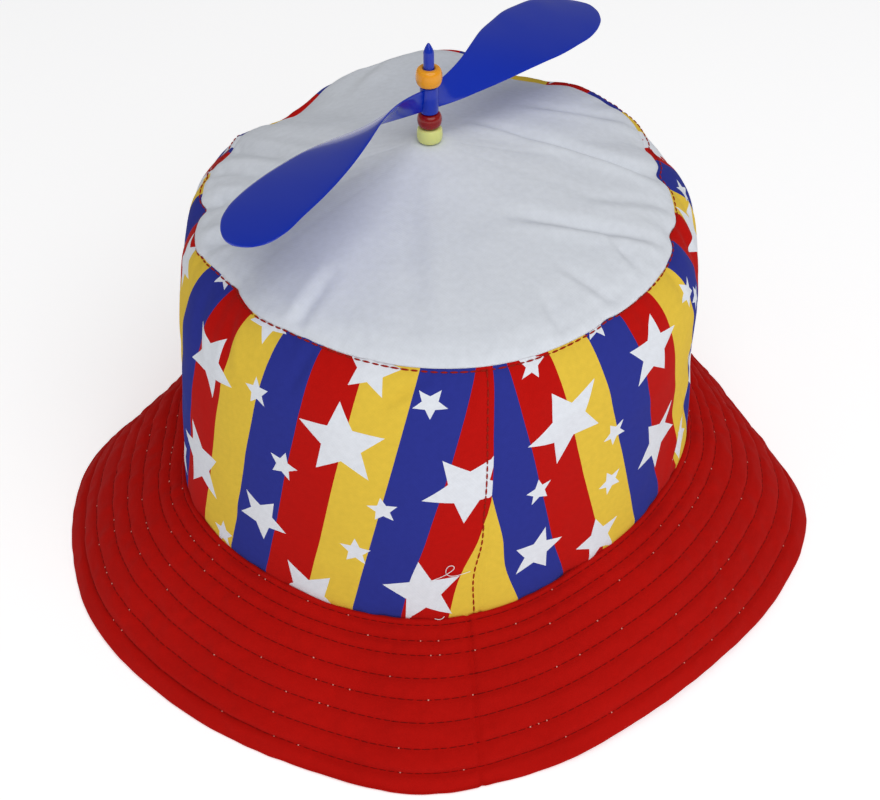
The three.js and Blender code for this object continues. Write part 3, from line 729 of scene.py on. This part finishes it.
plastics = {
    "blue": plastic("blueStyrene", "#022bae", .14),
    "yellow": plastic("paleYellowStyrene", "#dde08a", .2, .3),
    "red": plastic("redStyrene", "#8c0a08", .1),
    "orange": plastic("orangeStyrene", "#f0a01c", .12, .2),
}

pin = {
    "diameter": 3.4, "headDiameter": 10, "headWall": 1.5, "point": 3, "clearance": .3,
    "headRound": .3, "footRound": .2,
    "collarDiameter": 8.4, "lowerDiameter": 8, "upperDiameter": 8.5, "sides": 64,
    "beadBevel": .25, "beadSteps": 20,
}


# A body turned round the pin's axis from a closed profile of radius and height
def turnedPiece(name, profile, sides, material, onAxis=False):
    points = np.array(profile)
    angles = np.linspace(0, 2 * math.pi, sides, endpoint=False)
    count = len(points)
    verts = [(r * math.cos(a) * mm, r * math.sin(a) * mm, z * mm) for a in angles for r, z in points]
    faces = []
    for s in range(sides):
        for k in range(count - (1 if onAxis else 0)):
            here, over = s * count, ((s + 1) % sides) * count
            faces.append((here + k, over + k, over + (k + 1) % count, here + (k + 1) % count))
    mesh = bpy.data.meshes.new(name)
    mesh.from_pydata(verts, [], faces)
    if onAxis:
        form = bmesh.new()
        form.from_mesh(mesh)
        bmesh.ops.remove_doubles(form, verts=form.verts, dist=1e-7)
        bmesh.ops.recalc_face_normals(form, faces=form.faces)
        form.to_mesh(mesh)
        form.free()
    mesh.shade_smooth()
    mesh.materials.append(material)
    piece = bpy.data.objects.new(name, mesh)
    bpy.context.scene.collection.objects.link(piece)
    return piece


# A bead's profile round its bore; a lower power makes its side straighter
def beadProfile(diameter, foot, top, power):
    bore = pin["diameter"] / 2 + pin["clearance"]
    belly = diameter / 2 - bore
    bevel = pin["beadBevel"]
    steps = pin["beadSteps"]
    middle = (foot + top) / 2
    half = (top - foot) / 2
    outside = []
    for k in range(steps + 1):
        a = -math.pi / 2 + math.pi * k / steps
        outside.append((bore + bevel + (belly - bevel) * math.cos(a) ** power, middle + half * math.sin(a)))
    return outside + [(bore, top - bevel), (bore, foot + bevel)]


def makePin():
    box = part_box("pin")
    head = box[0][2] / mm
    tip = box[1][2] / mm
    radius = pin["diameter"] / 2
    wall = pin["headWall"]
    wide = pin["headDiameter"] / 2
    edge = pin["headRound"]
    foot = pin["footRound"]
    profile = [(0, head), (wide - edge, head), (wide, head + edge), (wide, head + wall - edge),
               (wide - edge, head + wall), (radius + foot, head + wall), (radius, head + wall + foot)]
    shaftTop = tip - pin["point"]
    profile += [(radius, shaftTop - .1), (radius - .12, shaftTop + .3), (radius * .72, shaftTop + 1.2),
                (radius * .42, tip - .75), (radius * .18, tip - .15), (0, tip)]
    return turnedPiece("pinMoulding", profile, 48, plastics["blue"], True)


# Blades from root to tip: out as a share of length, pitch in degrees, lead and trail as shares of chord
bladeRows = [
    (.028, 83, .048, .235), (.12, 63.9, .102, .252), (.2, 49.8, .167, .268), (.3, 34.9, .28, .305),
    (.4, 23.9, .398, .347), (.5, 16.9, .485, .393), (.6, 14, .557, .429), (.7, 11.1, .58, .439),
    (.8, 9.2, .573, .429), (.88, 6.1, .541, .368), (.94, 4, .447, .27), (.98, 2, .294, .151),
    (1, 1.9, .131, .043)]
blade = {"length": 92, "chord": 28, "wall": 1.1, "droop": 6.9, "sweep": 8.3, "turn": 126.6,
         "hubDiameter": 5.9, "hubRound": .35, "hubBevel": .1, "sections": 110, "around": 28,
         "tipRound": .06, "tipCentre": .5, "edgeRound": .55}


def bladeMesh(turnDegrees, rootHeight):
    table = np.array(bladeRows)
    ease = np.linspace(0, 1, blade["sections"])
    out = table[0, 0] + (1 - table[0, 0]) * np.sin(ease * math.pi / 2)
    pitch = np.radians(curveThrough(table[:, 0], table[:, 1], out))
    lead = curveThrough(table[:, 0], table[:, 2], out) * blade["chord"]
    trail = curveThrough(table[:, 0], table[:, 3], out) * blade["chord"]
    # the tip closes on a round end, its rows closer together
    fromTip = np.clip((1 - out) / blade["tipRound"], 0, 1)
    tipEase = np.sqrt(fromTip)
    edge = curveThrough(table[:, 0], table[:, 2], 1 - blade["tipRound"]) * blade["chord"]
    rear = curveThrough(table[:, 0], table[:, 3], 1 - blade["tipRound"]) * blade["chord"]
    centreTip = (edge - rear) / 2 * blade["tipCentre"]
    nearTip = out > 1 - blade["tipRound"]
    lead = np.where(nearTip, centreTip + (edge - centreTip) * tipEase, lead)
    trail = np.where(nearTip, -centreTip + (rear + centreTip) * tipEase, trail)
    rootMiddle = blade["chord"] * (table[0, 3] - table[0, 2]) / 2
    middle = np.stack([out * blade["length"], blade["sweep"] * out ** 2,
                       rootHeight + rootMiddle - blade["droop"] * out ** 2], -1)
    chord = np.stack([0 * pitch, np.cos(pitch), np.sin(pitch)], -1)
    face = np.stack([0 * pitch, -np.sin(pitch), np.cos(pitch)], -1)
    a = np.linspace(0, 2 * math.pi, blade["around"], endpoint=False)
    across = np.cos(a)
    thick = np.sign(np.sin(a)) * np.abs(np.sin(a)) ** blade["edgeRound"]
    half = (lead + trail) / 2
    centre = (lead - trail) / 2
    wall = blade["wall"] / 2 * np.minimum(1, half / 2)
    points = (middle[:, None] + chord[:, None] * (centre[:, None] + half[:, None] * across)[..., None]
              + face[:, None] * (wall[:, None] * thick)[..., None])
    spin = math.radians(turnDegrees)
    x = points[..., 0] * math.cos(spin) - points[..., 1] * math.sin(spin)
    y = points[..., 0] * math.sin(spin) + points[..., 1] * math.cos(spin)
    points = np.stack([x, y, points[..., 2]], -1) * mm
    count = blade["around"]
    faces = []
    for s in range(blade["sections"] - 1):
        for k in range(count):
            n = (k + 1) % count
            faces.append((s * count + k, s * count + n, (s + 1) * count + n, (s + 1) * count + k))
    faces.append(tuple(reversed(range(count))))
    faces.append(tuple((blade["sections"] - 1) * count + k for k in range(count)))
    mesh = bpy.data.meshes.new("blade")
    mesh.from_pydata(points.reshape(-1, 3).tolist(), [], faces)
    mesh.validate()
    return mesh


def link(name, mesh):
    piece = bpy.data.objects.new(name, mesh)
    bpy.context.scene.collection.objects.link(piece)
    return piece


def makePropeller():
    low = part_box("lower_bead")[1][2] / mm + hat["seamGap"]
    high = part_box("upper_bead")[0][2] / mm - hat["seamGap"]
    radius = blade["hubDiameter"] / 2
    bore = pin["diameter"] / 2 + pin["clearance"]
    edge = blade["hubRound"]
    bevel = blade["hubBevel"]
    profile = [(0, low), (radius - edge, low), (radius - bevel, low + bevel), (radius, low + edge),
               (radius, high - edge), (radius - bevel, high - bevel), (radius - edge, high), (0, high)]
    hub = turnedPiece("propellerMoulding", profile, 64, plastics["blue"], True)
    drillProfile = [(0, low - 1), (bore, low - 1), (bore, high + 1), (0, high + 1)]
    drill = turnedPiece("drill", drillProfile, 48, plastics["blue"], True)
    tools = []
    for half in (0, 180):
        mesh = bladeMesh(blade["turn"] - 90 + half, (low + high) / 2)
        form = bmesh.new()
        form.from_mesh(mesh)
        bmesh.ops.remove_doubles(form, verts=form.verts, dist=1e-6)
        bmesh.ops.recalc_face_normals(form, faces=form.faces)
        form.to_mesh(mesh)
        form.free()
        tools.append((link(f"bladeTool{half}", mesh), "UNION"))
    tools.append((drill, "DIFFERENCE"))
    for tool, operation in tools:
        cut = hub.modifiers.new(operation.lower(), "BOOLEAN")
        cut.object = tool
        cut.operation = operation
        cut.solver = "EXACT"
    bakeModifiers(hub)
    for tool, operation in tools:
        bpy.data.objects.remove(tool)
    hub.data.shade_smooth()
    hub.data.set_sharp_from_angle(angle=math.radians(38))
    hub.data.materials.clear()
    hub.data.materials.append(plastics["blue"])
    return hub


# Puts the evaluated mesh in place of the modifiers
def bakeModifiers(piece):
    bpy.context.view_layer.update()
    evaluated = piece.evaluated_get(bpy.context.evaluated_depsgraph_get())
    mesh = bpy.data.meshes.new_from_object(evaluated)
    piece.modifiers.clear()
    piece.data = mesh


# Stitches in metres; standOff values, in millimetres, lift their line off the cloth
stitch = {
    "spacing": 2.9 * mm, "length": 2.75 * mm, "width": .46 * mm, "seamWidth": .6 * mm,
    "shortest": .82, "longest": 1.12, "standOff": .1, "brimStandOff": .02,
    "thread": "#7c0b08", "seamThread": "#9c2013", "speck": "#e2a396",
    "speckKept": .12, "speckLength": .75 * mm, "speckWidth": .6 * mm,
}


# Stitches along a line: short round threads, each a little different
def stitchTree():
    tree = bpy.data.node_groups.new("stitchesAlongLine", "GeometryNodeTree")
    socket = tree.interface.new_socket
    socket("Line", in_out="INPUT", socket_type="NodeSocketGeometry")
    amounts = {"Spacing": stitch["spacing"], "Length": stitch["length"],
               "Width": stitch["width"], "Kept": 1.0}
    for label, value in amounts.items():
        socket(label, in_out="INPUT", socket_type="NodeSocketFloat").default_value = value
    socket("Seed", in_out="INPUT", socket_type="NodeSocketInt").default_value = 1
    socket("Thread", in_out="INPUT", socket_type="NodeSocketMaterial")
    socket("Stitches", in_out="OUTPUT", socket_type="NodeSocketGeometry")
    given = add(tree, "NodeGroupInput").outputs
    curve = add(tree, "GeometryNodeMeshToCurve", {0: given["Line"]})
    points = add(tree, "GeometryNodeResampleCurve", {0: curve.outputs[0], "Length": given["Spacing"]},
                 mode="LENGTH")
    ball = add(tree, "GeometryNodeMeshUVSphere", {"Segments": 6, "Rings": 4, "Radius": .5})
    tangent = add(tree, "GeometryNodeInputTangent")
    aim = add(tree, "FunctionNodeAlignRotationToVector", {"Vector": tangent.outputs[0]}, axis="X")
    vary = add(tree, "FunctionNodeRandomValue", {2: stitch["shortest"], 3: stitch["longest"],
               "Seed": given["Seed"]},
               data_type="FLOAT")
    long = add(tree, "ShaderNodeMath", {0: given["Length"], 1: vary.outputs[1]}, operation="MULTIPLY")
    size = add(tree, "ShaderNodeCombineXYZ", {0: long.outputs[0], 1: given["Width"], 2: given["Width"]})
    keep = add(tree, "FunctionNodeRandomValue", {"Probability": given["Kept"], "Seed": given["Seed"]},
               data_type="BOOLEAN")
    copies = add(tree, "GeometryNodeInstanceOnPoints", {
        "Points": points.outputs[0], "Instance": ball.outputs[0], "Rotation": aim.outputs[0],
        "Scale": size.outputs[0], "Selection": keep.outputs[3]})
    real = add(tree, "GeometryNodeRealizeInstances", {0: copies.outputs[0]})
    smooth = add(tree, "GeometryNodeSetShadeSmooth", {0: real.outputs[0]})
    painted = add(tree, "GeometryNodeSetMaterial", {0: smooth.outputs[0], "Material": given["Thread"]})
    add(tree, "NodeGroupOutput", {0: painted.outputs[0]})
    return tree


# One mesh of stitches along open or closed lines of points in millimetres
def stitchesAlong(name, lines, tree, settings):
    verts = []
    edges = []
    for line, closed in lines:
        first = len(verts)
        verts += (line * mm).tolist()
        edges += [(first + k, first + k + 1) for k in range(len(line) - 1)]
        if closed:
            edges.append((first + len(line) - 1, first))
    mesh = bpy.data.meshes.new(name)
    mesh.from_pydata(verts, edges, [])
    piece = link(name, mesh)
    modifier = piece.modifiers.new("stitches", "NODES")
    modifier.node_group = tree
    for item in tree.interface.items_tree:
        if item.in_out == "INPUT" and item.name in settings:
            modifier[item.identifier] = settings[item.name]
    bakeModifiers(piece)
    return piece


# Spun thread is matt; its plies show as small bumps and swing the tone a little
def threadMaterial(name, colour):
    material, tree = newMaterial(name)
    place = add(tree, "ShaderNodeTexCoord").outputs["Object"]
    # plies about 0.4 mm apart
    twist = add(tree, "ShaderNodeTexNoise", {"Vector": place, "Scale": 2500.0, "Detail": 2.0})
    bump = add(tree, "ShaderNodeBump", {"Strength": .4, "Distance": .05 * mm, "Height": twist.outputs[0]})
    tone = add(tree, "ShaderNodeMath", {0: twist.outputs[0], 1: .3, 2: .85}, operation="MULTIPLY_ADD")
    shade = add(tree, "ShaderNodeHueSaturation", {"Color": hexColour(colour), "Value": tone.outputs[0]})
    surface = add(tree, "ShaderNodeBsdfPrincipled", {
        "Base Color": shade.outputs[0], "Roughness": .8, "Normal": bump.outputs[0],
        "Specular IOR Level": .1})
    add(tree, "ShaderNodeOutputMaterial", {"Surface": surface.outputs[0]})
    return material


print("cloth")
band, bandOuter, bandNormal, bandTurn, bandAlong = makeBand()
top = makeTop()
brim, brimOuter, brimNormal, brimShare, brimEdges = makeBrim()
lining = makeLining()

print("plastic")
pinPiece = makePin()
beads = {}
for node, name, diameter, power, colour in (
        ("foot_collar", "collarBead", pin["collarDiameter"], .35, "yellow"),
        ("lower_bead", "redBead", pin["lowerDiameter"], .6, "red"),
        ("upper_bead", "orangeBead", pin["upperDiameter"], .55, "orange")):
    low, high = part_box(node)
    profile = beadProfile(diameter, low[2] / mm, high[2] / mm, power)
    beads[node] = turnedPiece(name, profile, pin["sides"], plastics[colour])
propeller = makePropeller()

print("stitches")
tree = stitchTree()
redThread = threadMaterial("redThread", stitch["thread"])
seamThread = threadMaterial("seamThread", stitch["seamThread"])
paleThread = threadMaterial("paleThread", stitch["speck"])
brimLines = []
for edge in brimEdges[1:-1]:
    row = int(np.abs(brimShare - edge).argmin())
    brimLines.append((brimOuter[:-1, row] + brimNormal[:-1, row] * stitch["brimStandOff"], True))
brimStitches = stitchesAlong("brimStitches", brimLines, tree, {"Thread": redThread, "Seed": 3})
brimSpecks = stitchesAlong("brimSpecks", brimLines, tree, {
    "Thread": paleThread, "Seed": 8, "Kept": stitch["speckKept"], "Length": stitch["speckLength"],
    "Width": stitch["speckWidth"]})
bandUp = lengthAlong(bandOuter, 1)
fromTop = bandUp[:, -1:] - bandUp
topLine = []
for column in range(len(bandAlong)):
    drop = topStitchDrop(bandTurn[column, -1])
    place = [np.interp(-drop, -fromTop[column], bandOuter[column, :, axis]) for axis in range(3)]
    topLine.append(np.array(place) + bandNormal[column, -3] * stitch["standOff"])
topLine = np.array(topLine)
topStitches = stitchesAlong("topSeamStitches", [(topLine[:-1], True)], tree, {
    "Thread": seamThread, "Seed": 5, "Width": stitch["seamWidth"]})
backColumn = int(np.abs(bandAlong + bandLook["backStitchAway"]).argmin())
backLine = bandOuter[backColumn, 2:-4] + bandNormal[backColumn, 2:-4] * stitch["standOff"]
backStitches = stitchesAlong("backSeamStitches", [(backLine, False)], tree, {
    "Thread": seamThread, "Seed": 6, "Width": stitch["seamWidth"]})


# The point on the band's face at along, up and its normal
def bandPlace(along, up):
    column = np.interp(along, bandAlong, np.arange(len(bandAlong)))
    low = int(column)
    share = column - low
    places = []
    for index in (low, low + 1):
        row = np.interp(up, bandUp[index], np.arange(bandUp.shape[1]))
        at = [np.interp(row, np.arange(bandUp.shape[1]), bandOuter[index, :, axis]) for axis in range(3)]
        places.append(np.array(at))
    return places[0] * (1 - share) + places[1] * share, bandNormal[low, int(row)]


# A loose end of white thread by the back seam: along, up, and how far it stands off
looseThread = {
    "width": .22,
    "ends": [
        [(-17, 18, .2), (-14.8, 19.3, .6), (-12.5, 20.6, .9), (-10.6, 22.4, 1.3), (-9.4, 24, 1.5),
         (-10.4, 25.4, 1.5), (-11.8, 24.9, 1.2), (-12.3, 23, .9), (-11.8, 21, .7), (-10.3, 19.8, .5),
         (-8.6, 19.6, .5), (-6.7, 19.7, .4), (-3.6, 20.2, .2)],
        [(-15.6, 1.2, .2), (-14.2, .9, .6), (-12.9, 1.3, .6), (-12.2, 2, .3)]],
}


def makeLooseThread():
    data = bpy.data.curves.new("looseThread", "CURVE")
    data.dimensions = "3D"
    data.bevel_depth = looseThread["width"] / 2 * mm
    data.bevel_resolution = 2
    data.use_fill_caps = True
    for end in looseThread["ends"]:
        line = data.splines.new("NURBS")
        line.points.add(len(end) - 1)
        line.use_endpoint_u = True
        line.order_u = 3
        for point, (along, up, off) in zip(line.points, end):
            place, normal = bandPlace(along, up)
            point.co = (*((place + normal * off) * mm), 1)
    piece = bpy.data.objects.new("looseThreadCurve", data)
    bpy.context.scene.collection.objects.link(piece)
    bpy.context.view_layer.update()
    mesh = bpy.data.meshes.new_from_object(piece.evaluated_get(bpy.context.evaluated_depsgraph_get()))
    bpy.data.objects.remove(piece)
    mesh.materials.clear()
    mesh.materials.append(threadMaterial("whiteThread", "#eceef0"))
    return link("looseThread", mesh)


whiteThread = makeLooseThread()

for piece, node, slot in (
        (band, "side_band", "printed_cotton"), (top, "crown_top", "white_cotton"),
        (brim, "brim", "red_cotton"), (lining, "under_brim", "white_lining"),
        (pinPiece, "pin", "blue_plastic"),
        (beads["foot_collar"], "foot_collar", "yellow_plastic"),
        (beads["lower_bead"], "lower_bead", "red_plastic"),
        (beads["upper_bead"], "upper_bead", "orange_plastic"), (propeller, "propeller", "blue_plastic")):
    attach(piece, "propeller" if node == "propeller" else "hat")
    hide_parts(node)
for piece in (brimStitches, brimSpecks, topStitches, backStitches, whiteThread):
    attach(piece, "hat")

print("stage")
studio = {
    "floor": "#f4f4f5", "floorGlow": 0.4, "world": 0.28,
    "key": 22, "keySize": 2.2, "keyPlace": (.25, -1.05, 1.5),
    "fill": 1.2, "fillSize": 1.6, "fillPlace": (-1.5, -.5, 1.1),
}


# Smooth pale paper; it glows a little, so that it nears white behind the hat
def makeFloor():
    bpy.ops.mesh.primitive_plane_add(size=12)
    floor = bpy.context.object
    floor.name = "floor"
    material, tree = newMaterial("paleFloor")
    surface = add(tree, "ShaderNodeBsdfPrincipled", {
        "Base Color": hexColour(studio["floor"]), "Roughness": .9, "Emission Color": (1, 1, 1, 1),
        "Emission Strength": studio["floorGlow"]})
    add(tree, "ShaderNodeOutputMaterial", {"Surface": surface.outputs[0]})
    floor.data.materials.append(material)


def makeLight(name, power, size, place):
    data = bpy.data.lights.new(name, "AREA")
    data.shape = "DISK"
    data.energy = power
    data.size = size
    light = bpy.data.objects.new(name, data)
    light.location = place
    light.rotation_euler = (Vector((0, 0, .08)) - Vector(place)).to_track_quat("-Z", "Y").to_euler()
    bpy.context.scene.collection.objects.link(light)


makeFloor()
makeLight("keyLight", studio["key"], studio["keySize"], studio["keyPlace"])
makeLight("fillLight", studio["fill"], studio["fillSize"], studio["fillPlace"])
world = bpy.data.worlds.new("studio")
world.use_nodes = True
world.node_tree.nodes["Background"].inputs[0].default_value = (1, 1, 1, 1)
world.node_tree.nodes["Background"].inputs[1].default_value = studio["world"]
bpy.context.scene.world = world
bpy.context.scene.view_settings.view_transform = "Standard"

# The camera looks down at the back of the hat, a little from its left
view = {
    "place": (-68.75, -420.89, 403.55), "target": (2.37, -.4, 40.6),
    "roll": 0.6, "focus": 1513, "imageWidth": 880,  # focal length in pixels of the picture
}


def makeCamera():
    data = bpy.data.cameras.new("camera")
    data.sensor_width = 36
    data.lens = view["focus"] * data.sensor_width / view["imageWidth"]
    camera = bpy.data.objects.new("camera", data)
    place = Vector(view["place"])
    back = (place - Vector(view["target"])).normalized()
    right = Vector((0, 0, 1)).cross(back).normalized()
    up = back.cross(right)
    a = math.radians(view["roll"])
    right, up = right * math.cos(a) - up * math.sin(a), up * math.cos(a) + right * math.sin(a)
    camera.matrix_world = Matrix.Translation(place * mm) @ Matrix((right, up, back)).transposed().to_4x4()
    bpy.context.scene.collection.objects.link(camera)
    bpy.context.scene.camera = camera


makeCamera()
